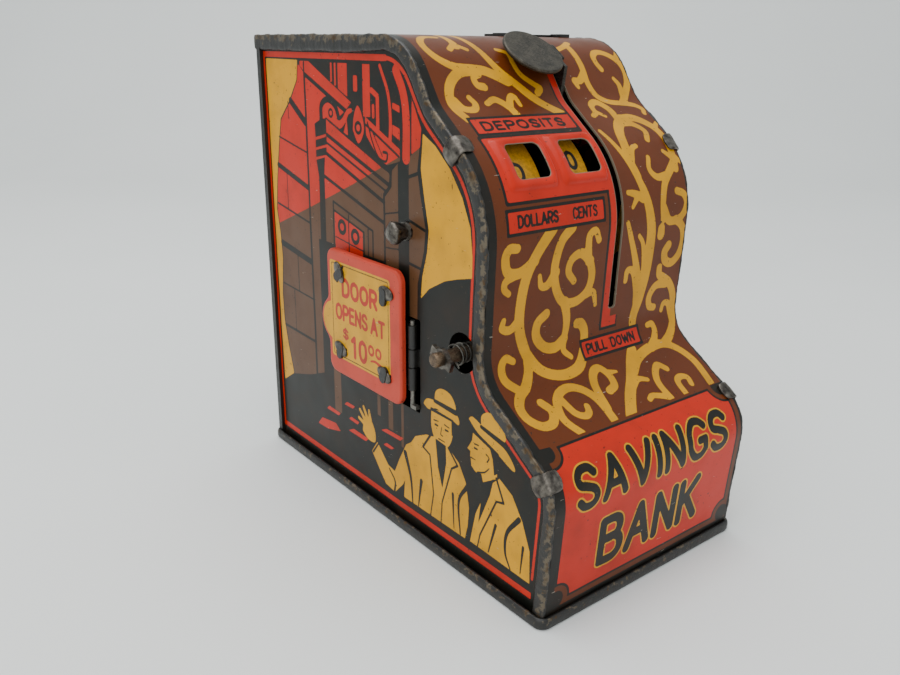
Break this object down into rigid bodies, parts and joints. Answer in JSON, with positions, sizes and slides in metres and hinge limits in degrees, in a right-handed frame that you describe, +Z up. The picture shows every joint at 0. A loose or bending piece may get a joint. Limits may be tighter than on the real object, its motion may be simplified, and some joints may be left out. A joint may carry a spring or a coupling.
{
  "type": "tin money box",
  "caption": "Sheet-metal register bank with a curved front, pull-down lever, number drums behind windows, top coin slot, side money door and reset plunger.",
  "frame": {"origin": "centre of the base pan's underside, midway between the side panels and between the back and the foot of the front", "axes": "+X to the right seen from the front, the curved front faces -Y, +Z up"},
  "size_m": [0.0766, 0.121, 0.1209],
  "materials": {
    "printed_tin": "lithographed tinplate, varnished",
    "black_tin": "black lacquered tinplate, worn",
    "number_yellow": "printed yellow, satin",
    "door_print": "lithographed yellow and red",
    "bare_steel": "tarnished tinned steel",
    "dark_steel": "darkened steel",
    "spring_wire": "drawn wire"
  },
  "bodies": {
    "case": {"front_sheet": "printed_tin", "left_side": "printed_tin", "right_side": "printed_tin", "back_panel": "black_tin", "base_pan": "black_tin", "seam_tabs": "bare_steel", "coin_chute": "bare_steel", "coin_guard": "bare_steel", "axle": "bare_steel", "axle_spacers": "bare_steel", "pawl_shaft": "bare_steel", "pawl_spacers": "bare_steel", "door_hinge_leaf": "dark_steel", "door_hinge_pin": "bare_steel", "door_lock_rivet": "bare_steel", "plunger_guide": "dark_steel"},
    "cents_wheel": {"cents_drum": "number_yellow", "cents_ratchet": "bare_steel", "transfer_finger": "bare_steel"},
    "dollars_wheel": {"dollars_drum": "number_yellow", "dollars_ratchet": "bare_steel"},
    "cents_hold": {"cents_pawl": "bare_steel"},
    "dollars_hold": {"dollars_pawl": "bare_steel"},
    "lever": {"lever_arm": "dark_steel", "lever_disc": "dark_steel", "lever_hub": "bare_steel", "lever_spring": "spring_wire", "drive_pawl_rivet": "bare_steel"},
    "drive": {"drive_pawl": "bare_steel"},
    "door": {"door_plate": "door_print", "door_inner_plate": "dark_steel", "door_striker": "bare_steel"},
    "lock": {"door_lock_arm": "bare_steel"},
    "plunger": {"plunger_rod": "dark_steel", "plunger_collar": "bare_steel", "plunger_spring": "spring_wire"}
  },
  "joints": [
    {"name": "lever_pull", "type": "hinge", "parent": "case", "child": "lever", "pos_m": [0, -0.00946, 0.0775], "axis": [1, 0, 0], "range_deg": [0, 105], "stiffness_Nm_per_rad": 0.02, "springref_deg": -28.65, "deforming": ["lever_spring"]},
    {"name": "cents_turn", "type": "hinge", "parent": "case", "child": "cents_wheel", "pos_m": [0, -0.00946, 0.0775], "axis": [1, 0, 0], "continuous": true},
    {"name": "dollars_turn", "type": "hinge", "parent": "case", "child": "dollars_wheel", "pos_m": [0, -0.00946, 0.0775], "axis": [1, 0, 0], "continuous": true},
    {"name": "cents_pawl_lift", "type": "hinge", "parent": "case", "child": "cents_hold", "pos_m": [0, -0.00898, 0.1051], "axis": [1, 0, 0], "range_deg": [0, 12], "stiffness_Nm_per_rad": 0.002, "springref_deg": -11.46},
    {"name": "dollars_pawl_lift", "type": "hinge", "parent": "case", "child": "dollars_hold", "pos_m": [0, -0.00898, 0.1051], "axis": [1, 0, 0], "range_deg": [0, 12], "stiffness_Nm_per_rad": 0.002, "springref_deg": -11.46},
    {"name": "drive_pawl_lift", "type": "hinge", "parent": "lever", "child": "drive", "pos_m": [0, -0.01415, 0.10165], "axis": [-1, 0, 0], "range_deg": [0, 12], "stiffness_Nm_per_rad": 0.002, "springref_deg": -11.46},
    {"name": "door_swing", "type": "hinge", "parent": "case", "child": "door", "pos_m": [-0.0323, -0.012, 0.035], "axis": [0, 0, 1], "range_deg": [0, 100]},
    {"name": "lock_turn", "type": "hinge", "parent": "case", "child": "lock", "pos_m": [0, 0.029, 0.05975], "axis": [1, 0, 0], "range_deg": [0, 24], "stiffness_Nm_per_rad": 0.002, "springref_deg": -5.73},
    {"name": "plunger_push", "type": "slide", "parent": "case", "child": "plunger", "axis": [1, 0, 0], "range_m": [0, 0.003], "stiffness_N_per_m": 400, "springref_m": -0.002, "deforming": ["plunger_spring"]}
  ]
}
